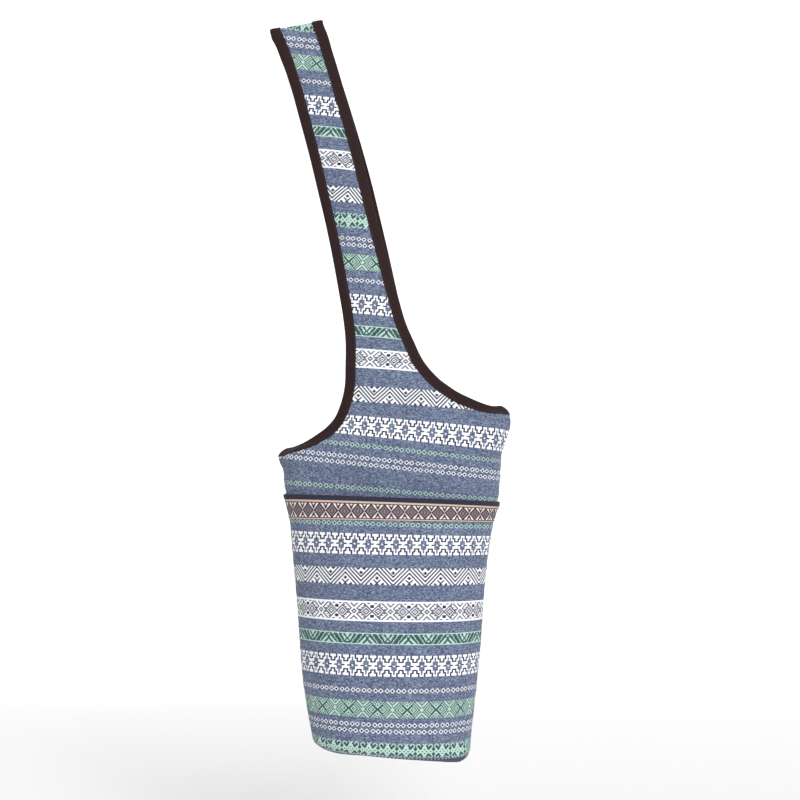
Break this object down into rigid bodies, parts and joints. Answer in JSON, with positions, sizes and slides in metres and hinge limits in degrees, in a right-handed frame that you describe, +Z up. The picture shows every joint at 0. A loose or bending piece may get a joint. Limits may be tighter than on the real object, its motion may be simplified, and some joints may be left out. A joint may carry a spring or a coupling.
{
  "type": "yoga mat bag",
  "caption": "Tall woven-cloth sling tote for a rolled exercise mat, with one wide shoulder strap, tape-bound opening and a large outer pocket.",
  "frame": {"origin": "underside of the strap's top fold, at the middle of the strap's width, where a peg or hand holds it", "axes": "+Z up, the front with the pocket faces -Y, +X to the right as seen from the front"},
  "size_m": [0.3013, 0.1538, 0.9143],
  "materials": {
    "cloth": "slubby slate-blue plain weave with white and mint woven bands, matt",
    "tape": "ribbed dark brown binding tape, matt",
    "navy_edging": "smooth navy edging, slight sheen",
    "ribbon": "woven jacquard ribbon with cream leaves on dark brown between peach lines, slight sheen"
  },
  "bodies": {
    "root": {"front_panel": "cloth", "back_panel": "cloth", "pocket_panel": "cloth", "left_front_binding": "tape", "left_back_binding": "tape", "right_front_binding": "tape", "right_back_binding": "tape", "pocket_binding": "navy_edging", "pocket_ribbon": "ribbon"}
  },
  "joints": []
}
